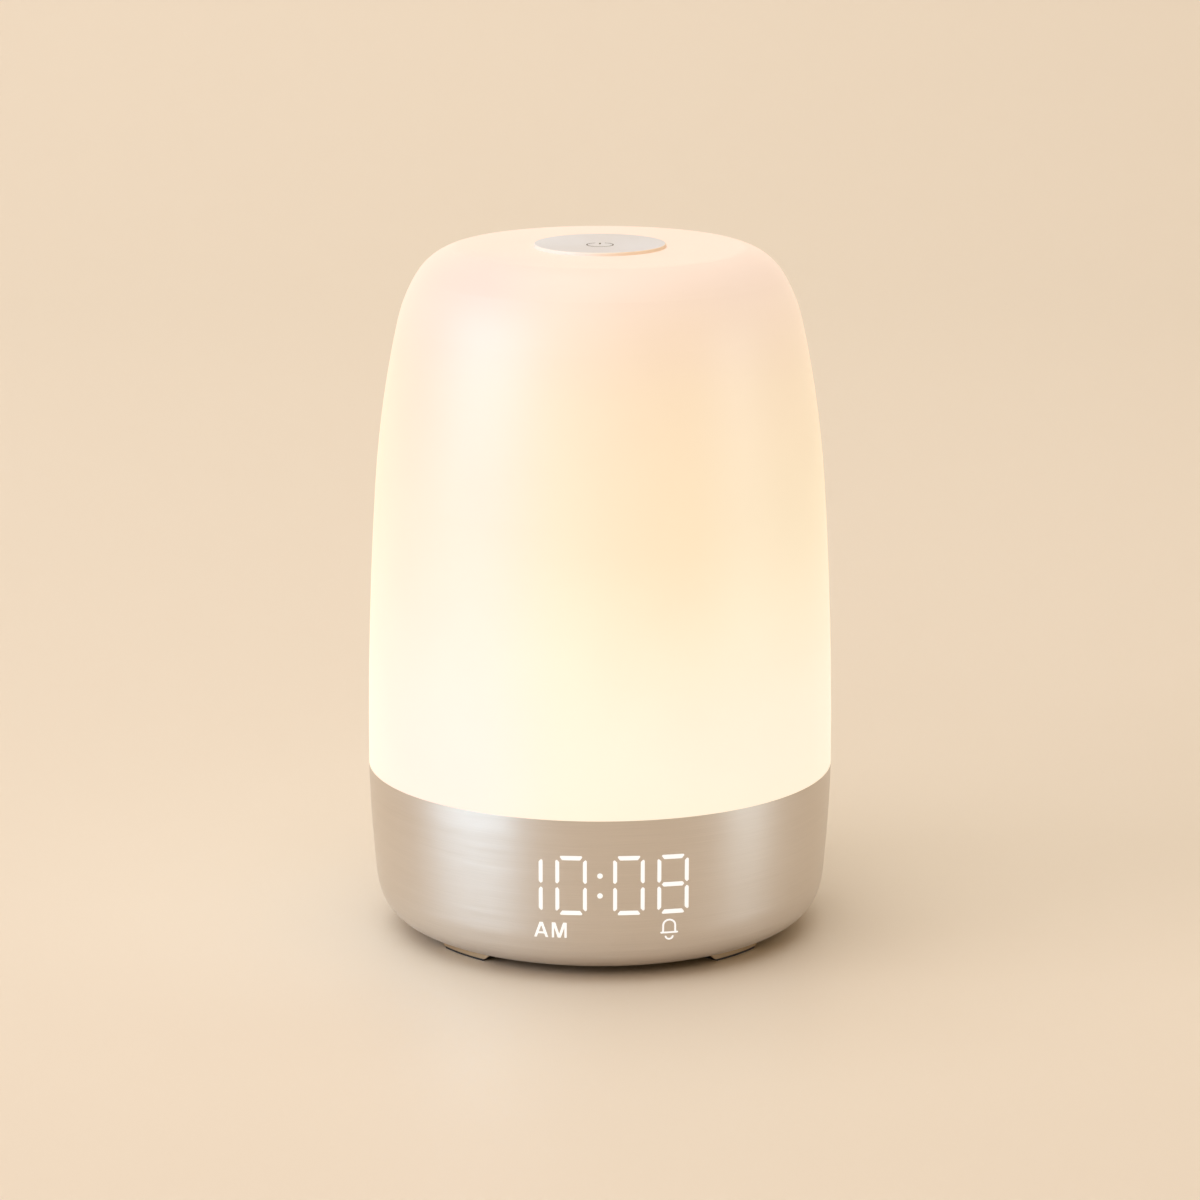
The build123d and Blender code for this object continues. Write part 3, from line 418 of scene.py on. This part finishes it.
def on_wall(x, z, proud, side):
    """The wall's point at (x, z), in metres, moved out by proud; side is -1 in front, 1 behind."""
    r = wall_radius(z) + proud
    return Vector((x, side * sqrt(r * r - x * x), z)) * MM


def clip_cells(outline, step):
    """Cuts a polygon of (x, z) points into cells of at most step, so that it can bend."""
    bm = bmesh.new()
    bm.faces.new([bm.verts.new((x, 0.0, z)) for x, z in outline])
    xs, zs = [p[0] for p in outline], [p[1] for p in outline]
    for axis, low, high in ((0, min(xs), max(xs)), (2, min(zs), max(zs))):
        count = int((high - low) / step) + 1
        for i in range(1, count):
            at, normal = [0.0, 0.0, 0.0], [0.0, 0.0, 0.0]
            at[axis], normal[axis] = low + (high - low) * i / count, 1.0
            geom = bm.verts[:] + bm.edges[:] + bm.faces[:]
            bmesh.ops.bisect_plane(bm, geom=geom, plane_co=at, plane_no=normal)
    return bm


def fix_order(bm):
    """Sorts edges and faces by their vertices: an extrusion leaves them in no fixed order."""
    bm.verts.index_update()
    for parts in (bm.edges, bm.faces):
        ranked = sorted(parts, key=lambda part: sorted(v.index for v in part.verts))
        for rank, part in enumerate(ranked):
            part.index = rank
        parts.sort()


def wall_marks(name, outlines, material, surface, step=0.8):
    """One piece of flat outlines laid on a surface, each a thin closed solid. surface gives the
    point for (x, z, whether it is on the outer face)."""
    total = bmesh.new()
    for outline in outlines:
        bm = clip_cells(outline, step)
        result = bmesh.ops.extrude_face_region(bm, geom=bm.faces[:])
        back = {v for v in result["geom"] if isinstance(v, bmesh.types.BMVert)}
        for v in bm.verts:
            v.co = surface(v.co.x, v.co.z, v not in back)
        fix_order(bm)
        mesh = bpy.data.meshes.new("cells")
        bm.to_mesh(mesh)
        bm.free()
        total.from_mesh(mesh)
        bpy.data.meshes.remove(mesh)
    return piece(name, total, material)


def stroke(points, width, close=False):
    """Outlines (quads) of a stroked path of that width, with mitred joints."""
    half, n, sharpest = width / 2, len(points), 0.35
    left, right = [], []
    for i, (x, z) in enumerate(points):
        before = points[i - 1] if i > 0 or close else None
        after = points[(i + 1) % n] if i < n - 1 or close else None
        ways = []
        for a, b in ((before, (x, z)), ((x, z), after)):
            if a is not None and b is not None:
                ways.append(Vector((b[0] - a[0], b[1] - a[1])).normalized())
        way = (ways[0] + ways[-1]).normalized()
        out = Vector((-way.y, way.x))
        reach = half / max(sharpest, out.dot(Vector((-ways[0].y, ways[0].x))))
        left.append((x + out.x * reach, z + out.y * reach))
        right.append((x - out.x * reach, z - out.y * reach))
    last = n if close else n - 1
    return [[left[i], left[(i + 1) % n], right[(i + 1) % n], right[i]] for i in range(last)]


def arc(cx, cz, radius, start, end, count):
    """Points of an arc, in degrees."""
    turns = [radians(start + (end - start) * i / count) for i in range(count + 1)]
    return [(cx + radius * cos(turn), cz + radius * sin(turn)) for turn in turns]


def disc(cx, cz, radius, count=32):
    """Outline of a full circle."""
    return arc(cx, cz, radius, 0, 360, count)[:-1]


# ---------------------------------------------------------------- display
# All in mm: the digits' places and size, and how thick their level bars and their stems are
DIGIT_X = (-16.63, -6.57, 6.57, 16.63)
DIGIT_Z, DIGIT_W, DIGIT_H, BAR, STEM = 24.31, 7.16, 14.25, 1.02, 0.89
DROOP = 0.30  # how much lower the marks sit at the last digit
MARK_TOP, MARK_ROOT = 0.03, -0.25  # over the wall
TIME = (1, 0, 0, 8)
LIT = {0: "ABCDEF", 1: "BC", 8: "ABCDEFG"}


def on_display(x, z, outer):
    """The front wall, with marks a little lower towards the display's ends."""
    return on_wall(x, z - DROOP * (x / DIGIT_X[-1]) ** 2, MARK_TOP if outer else MARK_ROOT, -1)


def segment(letter):
    """One segment's outline about the digit's centre, with bevelled ends."""
    w, h = DIGIT_W / 2, DIGIT_H / 2
    if letter in "AD":
        way = 1 if letter == "A" else -1
        outer, widest, inner, bevel = 2.40, 2.56, 2.02, 0.28
        outline = [
            (-outer, h),
            (outer, h),
            (widest, h - bevel),
            (inner, h - BAR),
            (-inner, h - BAR),
            (-widest, h - bevel),
        ]
        return [(x, way * z) for x, z in outline][::way]
    if letter == "G":
        half, reach, tip = BAR / 2, w - 1.02, 0.42
        return [
            (-reach, 0.0),
            (-reach + tip, half),
            (reach - tip, half),
            (reach, 0.0),
            (reach - tip, -half),
            (-reach + tip, -half),
        ]
    side = 1 if letter in "BC" else -1
    way = 1 if letter in "BF" else -1
    low, high = 0.50, h - 1.00
    outline = [
        (w - STEM, low + 0.54),
        (w - 0.52, low),
        (w - 0.32, low),
        (w, low + 0.30),
        (w, high - 0.26),
        (w - 0.22, high),
        (w - 0.38, high),
        (w - STEM, high - 0.54),
    ]
    return [(side * x, way * z) for x, z in outline][:: side * way]


lit = glowing("display_lit", (1.0, 0.985, 0.955), 0.90)
marks = []
for digit, x0 in zip(TIME, DIGIT_X):
    for letter in LIT[digit]:
        marks.append([(x0 + x, DIGIT_Z + z) for x, z in segment(letter)])
wall_marks("display_digits", marks, lit, on_display)
dots = [disc(0, DIGIT_Z + rise, 0.63) for rise in (-2.40, 2.40)]
wall_marks("display_colon", dots, lit, on_display)


def letter_am(x0, z0, height):
    """The letters A and M as polygons, x0 at the left of A and z0 on the base line."""
    a_width, m_width, between = 3.25, 3.40, 0.80
    peak, leg, stem = 0.38, 0.60, 0.52
    top, notch = z0 + height, height * 0.80
    half = a_width / 2
    mid, outlines = x0 + half, []
    for side in (-1, 1):
        outlines.append(
            [
                (mid + side * half, z0),
                (mid + side * peak, top),
                (mid, top),
                (mid, z0 + notch),
                (mid + side * (half - leg), z0),
            ][::-side]
        )
    crossbar, overlap = (height * 0.24, height * 0.36), 0.05
    wide, slim = ((half - leg) * (1 - z / notch) + overlap for z in crossbar)
    low, high = (z0 + z for z in crossbar)
    outlines.append([(mid - wide, low), (mid + wide, low), (mid + slim, high), (mid - slim, high)])
    mid = x0 + a_width + between + m_width / 2
    for side in (-1, 1):
        out, inner = mid + side * m_width / 2, mid + side * (m_width / 2 - stem)
        outlines.append([(inner, z0), (out, z0), (out, top), (inner, top)][::side])
        outlines.append(
            [
                (inner, top),
                (inner, z0 + height * 0.70),
                (mid + side * 0.33, z0),
                (mid, z0),
                (mid, z0 + height * 0.25),
                (inner - side * 0.30, top),
            ][::side]
        )
    return outlines


wall_marks("display_am", letter_am(-15.05, 11.53, 3.70), lit, on_display, step=0.5)


def bell(cx, z0, half, height, rim, clap, line):
    """Outline bell: dome, rim with rounded ends on the line z0, and a clapper arc under it."""
    flare, bend = 0.10, 0.45
    dome = [(cx - half - flare, z0), (cx - half, z0 + bend)]
    dome += arc(cx, z0 + height - half, half, 180, 0, 20)
    dome += [(cx + half, z0 + bend), (cx + half + flare, z0)]
    outlines = stroke(dome, line)
    outlines += stroke([(cx - rim, z0), (cx + rim, z0)], line)
    outlines += [disc(cx + side * rim, z0 + 0.03, line * 0.55, 12) for side in (-1, 1)]
    outlines += stroke(arc(cx, z0 - clap, clap, 180, 360, 14), line)
    return outlines


BELL = bell(15.80, 12.52, half=1.38, height=3.12, rim=1.82, clap=0.84, line=0.40)
wall_marks("display_bell", BELL, lit, on_display, step=0.5)

# ---------------------------------------------------------------- touch sign
PLATE_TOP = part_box("touch_plate")[1].z / MM
PRINT_TOP, PRINT_ROOT = 0.02, -0.10  # mm over the surface that a sign is printed on


def on_plate(x, z, outer):
    """(x, z) laid flat on the touch plate, z towards the back."""
    return Vector((x, z, PLATE_TOP + (PRINT_TOP if outer else PRINT_ROOT))) * MM


SIGN_Y = -2.5
sign_ink = moulded("sign_ink", (0.075, 0.065, 0.058), 0.5, 3000.0, 0.000005)
POWER = stroke(arc(0, SIGN_Y, 3.05, 112, 428, 48), 0.30)
POWER += stroke([(0, SIGN_Y + 0.85), (0, SIGN_Y + 2.85)], 0.46)
wall_marks("power_sign", POWER, sign_ink, on_plate, step=5.0)


# ---------------------------------------------------------------- rear key signs
KEY_X = (-20.0, -10.0, 0.0, 10.0, 20.0)
SIGN_Z = 29.85
PANEL_DEPTH = 0.25  # mm that the rear panel lies inside the base's form


def on_panel(x, z, outer):
    """The rear panel's surface."""
    return on_wall(x, z, -PANEL_DEPTH + (PRINT_TOP if outer else PRINT_ROOT), 1)


def seen_from_behind(x0, outlines):
    """Places outlines drawn about (0, 0) over a rear key, mirrored for the viewer behind."""
    return [[(x0 - x, SIGN_Z + z) for x, z in outline][::-1] for outline in outlines]


CLOCK = stroke(disc(0, 0, 0.98), 0.20, close=True) + stroke([(0, 0.62), (0, 0), (0.46, 0)], 0.20)
ALARM = bell(0.0, -0.62, half=0.62, height=1.52, rim=0.92, clap=0.32, line=0.20)
SOUND = [[(-1.05, -0.34), (-0.62, -0.34), (-0.62, 0.34), (-1.05, 0.34)]]
SOUND += [[(-0.62, -0.34), (0.0, -0.86), (0.0, 0.86), (-0.62, 0.34)]]
SOUND += stroke(arc(0.02, 0, 0.52, -48, 48, 10), 0.19)
SOUND += stroke(arc(0.02, 0, 0.98, -48, 48, 14), 0.19)
MINUS = stroke([(-0.85, 0), (0.85, 0)], 0.26)
PLUS = MINUS + stroke([(0, 0.13), (0, 0.85)], 0.26) + stroke([(0, -0.85), (0, -0.13)], 0.26)
pad_ink = moulded("pad_ink", (0.55, 0.53, 0.50), 0.5, 3000.0, 0.000004)
KEY_SIGNS = {"clock": CLOCK, "alarm": ALARM, "sound": SOUND, "minus": MINUS, "plus": PLUS}
for x0, (key, sign) in zip(KEY_X, KEY_SIGNS.items()):
    outlines = seen_from_behind(x0, sign)
    wall_marks("sign_" + key, outlines, pad_ink, on_panel, step=0.7)


# ---------------------------------------------------------------- contacts, cloth and screws
def add_verts(bm, points):
    """Vertices at points given in mm."""
    return [bm.verts.new(Vector(point) * MM) for point in points]


def ring(bm, x, y, z, radius, count):
    """A ring of vertices round (x, y) at height z, in mm."""
    turns = [i * (2 * pi / count) for i in range(count)]
    return add_verts(bm, [(x + radius * cos(turn), y + radius * sin(turn), z) for turn in turns])


def bridge(bm, low, high):
    """Faces between two rings or rows of the same length that close on themselves."""
    for i in range(len(low)):
        j = (i + 1) % len(low)
        bm.faces.new((low[i], low[j], high[j], high[i]))


def contacts():
    """Gold fingers on both sides of the socket's tongue, each bowed and thinned at its front."""
    low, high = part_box("usb_tongue")
    front, middle = high.y / MM, (low.z + high.z) / 2 / MM
    count, pitch, half_tongue, sunk = 12, 0.5, 0.35, 0.02
    # (distance back from the tongue's front, rise over its face, half the width)
    profile = ((3.4, 0.0, 0.14), (3.2, 0.035, 0.14), (0.9, 0.035, 0.14))
    profile += ((0.62, 0.025, 0.11), (0.5, 0.0, 0.09))
    bm = bmesh.new()
    for side in (-1, 1):
        root = middle + side * (half_tongue - sunk)
        for i in range(count):
            x = pitch * (i - (count - 1) / 2)
            rows = []
            for back, rise, half in profile:
                y, z = front - back, middle + side * (half_tongue + rise)
                left, right = x - half, x + half
                corners = ((left, y, root), (right, y, root), (right, y, z), (left, y, z))
                rows.append(add_verts(bm, corners))
            for a, b in zip(rows, rows[1:]):
                bridge(bm, a, b)
            bm.faces.new(rows[0])
            bm.faces.new(rows[-1][::-1])
    return bm


piece("usb_contacts", contacts(), plated("gold", (0.83, 0.60, 0.26), 0.25, 2000.0))


def woven(name, colour, pitch):
    """Plain-weave cloth: threads cross over and under each other at pitch, darker where they dip
    and meet as painted shade.
    """
    g = Graph(name)
    x, y, z = g.place()
    u, v = (g.times(a, pi / pitch) for a in (x, y))
    over = g.times(g.math("SINE", u), g.math("SINE", v))
    thread = g.math("ABSOLUTE", over)
    cross = g.remap(over, -0.15, 0.15, 0.0, 1.0)
    height = g.times(thread, g.remap(cross, 0.0, 1.0, 0.6, 1.0))
    # Painted shade: the weave is darker where a thread dips under another and between the threads
    g.set(Base_Color=g.mix(height, shade_of(colour, 0.25), colour))
    g.set(Roughness=g.remap(thread, 0.0, 1.0, 0.95, 0.75), Normal=g.bump(thread, 0.00012))
    return g.material


def cloth_disc(x, y, z, radius):
    """Thin disc of cloth, held at its rim and raised a little in its middle."""
    thick, rise, count = 0.06, 0.05, 48
    line = [(radius * share, rise * (1 - share * share)) for share in (1.0, 0.8, 0.6, 0.4, 0.2)]
    bm = bmesh.new()
    lower, upper = (
        [ring(bm, x, y, z + level + height, r, count) for r, height in line]
        for level in (0.0, thick)
    )
    for rings in (lower, upper):
        for a, b in zip(rings, rings[1:]):
            bridge(bm, a, b)
        bm.faces.new(rings[-1])
    bridge(bm, lower[0], upper[0])
    return bm


CLOTH = 16.1  # mm, the disc's radius
cloth_colour = woven("speaker_cloth", (0.045, 0.042, 0.038), 0.0006)
cloth = piece("speaker_cloth", cloth_disc(0.0, -16.0, 4.24, CLOTH), cloth_colour)


SCREW_HEAD, SCREW_SEAT = 2.6, 3.3  # mm, the head's radius and the height of its seat


def cross_screws(places, seat, tip):
    """Pan-head screws with a cross recess in the head, which faces down, and ridged shanks."""
    count = 32
    face = seat - 1.10
    head = ((2.15, face), (2.42, seat - 1.02), (SCREW_HEAD, seat - 0.75), (SCREW_HEAD, seat))
    core, crest, pitch = 1.0, 1.22, 0.6
    wing, slim, depth, taper = 1.25, 0.26, 0.75, 0.8
    cross = []
    for c, s in ((1, 0), (0, 1), (-1, 0), (0, -1)):
        for px, py in ((wing, slim), (slim * 1.35, slim * 1.35), (slim, wing)):
            cross.append((px * c - py * s, px * s + py * c))
    bm = bmesh.new()
    for x, y in places:
        outer = [ring(bm, x, y, z, r, count) for r, z in head]
        rings = [outer[-1], ring(bm, x, y, seat, crest, count)]
        z = seat + pitch / 2
        while z < tip - 2 * pitch:
            rings += [ring(bm, x, y, z, core, count), ring(bm, x, y, z + pitch / 2, crest, count)]
            z += pitch
        rings += [ring(bm, x, y, tip - 0.8, 0.9, count), ring(bm, x, y, tip, 0.25, count)]
        for run in (outer, rings):
            for a, b in zip(run, run[1:]):
                bridge(bm, a, b)
        bm.faces.new(rings[-1])
        mouth, bottom = (
            add_verts(bm, [(x + share * px, y + share * py, z) for px, py in cross])
            for share, z in ((1.0, face), (taper, face + depth))
        )
        bridge(bm, mouth, bottom)
        bm.faces.new(bottom)
        edges = []
        for loop in (mouth, outer[0]):
            for pair in zip(loop, loop[1:] + loop[:1]):
                edges.append(bm.edges.get(pair) or bm.edges.new(pair))
        bmesh.ops.triangle_fill(bm, edges=edges, use_beauty=True, use_dissolve=False)
    return bm


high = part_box("bottom_cover_screws")[1]
post_x, post_y = high.x / MM - SCREW_HEAD, high.y / MM - SCREW_HEAD
places = [(a * post_x, b * post_y) for a in (-1, 1) for b in (-1, 1)]
screws_mesh = cross_screws(places, SCREW_SEAT, high.z / MM)
screws = piece("cover_screws", screws_mesh, finishes["fastener"], smooth_angle=30.0)
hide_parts("bottom_cover_screws")


# ---------------------------------------------------------------- floor and backdrop
def sweep_floor():
    """Seamless paper: floor, a wide curve and a back."""
    half, front, back, radius, top = 4.0, -3.0, 0.9, 0.8, 4.0  # m
    bends = [radians(a) for a in range(6, 91, 6)]
    line = [(front, 0.0), (back, 0.0)]
    line += [(back + radius * sin(a), radius - radius * cos(a)) for a in bends]
    line.append((back + radius, top))
    bm = bmesh.new()
    rows = [[bm.verts.new((x, y, z)) for x in (-half, half)] for y, z in line]
    for a, b in zip(rows, rows[1:]):
        bm.faces.new((a[0], a[1], b[1], b[0]))
    mesh = bpy.data.meshes.new("floor")
    bm.to_mesh(mesh)
    bm.free()
    mesh.shade_smooth()
    made = bpy.data.objects.new("floor", mesh)
    bpy.context.scene.collection.objects.link(made)
    return made


def paper(colour):
    """Matt studio paper, very slightly uneven."""
    g = Graph("backdrop_paper")
    fine = g.noise(g.coords(), 900.0, 3.0)
    g.set(Base_Color=g.mix(g.noise(g.coords(), 2.0, 2.0), *spread(colour, 0.01)))
    g.set(Roughness=g.vary(fine, 0.42, 0.5), Normal=g.bump(fine, 0.00002))
    return g.material


floor = sweep_floor()
floor.data.materials.append(paper((0.808, 0.752, 0.668)))


# ---------------------------------------------------------------- light
CLOCK_MIDDLE, BACKDROP = (0.0, 0.0, 0.08), (0.0, 1.75, 0.45)


def softbox(name, azimuth, elevation, distance, width, height, power, colour, aim=CLOCK_MIDDLE):
    """Area light that looks at aim; azimuth 0 is in front of it and + is to the right."""
    data = bpy.data.lights.new(name, "AREA")
    data.shape = "RECTANGLE"
    data.size, data.size_y = width, height
    data.energy = power
    data.color = colour
    made = bpy.data.objects.new(name, data)
    a, e = radians(azimuth), radians(elevation)
    aim = Vector(aim)
    made.location = aim + distance * Vector((sin(a) * cos(e), -cos(a) * cos(e), sin(e)))
    made.rotation_euler = (aim - made.location).to_track_quat("-Z", "Y").to_euler()
    bpy.context.scene.collection.objects.link(made)
    return made


# Two strips give the clock its highlights. They show in gloss only, and not on the floor.
strip_lit = bpy.data.collections.new("strip_lit")
for thing in bpy.data.objects:
    if thing.type == "MESH" and thing != floor:
        strip_lit.objects.link(thing)
for strip in (
    softbox("key", -64.0, 15.5, 1.2, 0.98, 0.76, 15.0, (0.515, 0.765, 1.0)),
    softbox("fill", 75.0, 8.0, 1.4, 0.55, 0.50, 4.4, (0.68, 0.87, 1.0)),
):
    strip.light_linking.receiver_collection = strip_lit
    strip.visible_diffuse = False

# The light on everything. The side and front lights show in no gloss.
for matt in (
    softbox("side", -66.0, 20.0, 2.9, 2.0, 1.5, 27.5, (0.955, 0.87, 0.85)),
    softbox("front", -22.0, 32.0, 2.9, 1.6, 1.0, 8.5, (0.97, 0.90, 0.86)),
):
    matt.visible_glossy = False
softbox("top", -45.0, 78.0, 2.2, 2.7, 2.1, 25.6, (0.905, 0.97, 1.0))
softbox("wash", 0.0, 60.0, 1.9, 3.0, 0.8, 10.6, (0.88, 0.98, 1.0), BACKDROP)

# The world: a warm light for the shadows, and a paler room where a ray sees it directly
WORLD_LIGHT, WORLD_SEEN = (0.425, 0.252, 0.098), (0.60, 0.485, 0.36)
world = bpy.data.worlds.new("world")
bpy.context.scene.world = world
world.use_nodes = True
tree = world.node_tree
path = tree.nodes.new("ShaderNodeLightPath")
seen = path.outputs["Is Camera Ray"]
for ray in ("Is Glossy Ray", "Is Transmission Ray"):
    either = tree.nodes.new("ShaderNodeMath")
    either.operation = "MAXIMUM"
    tree.links.new(seen, either.inputs[0])
    tree.links.new(path.outputs[ray], either.inputs[1])
    seen = either.outputs[0]
room = tree.nodes.new("ShaderNodeMix")
room.data_type = "RGBA"
tree.links.new(seen, room.inputs[0])
room.inputs[6].default_value = (*WORLD_LIGHT, 1.0)
room.inputs[7].default_value = (*WORLD_SEEN, 1.0)
background = tree.nodes["Background"]
background.inputs["Strength"].default_value = 1.0
tree.links.new(room.outputs[2], background.inputs["Color"])
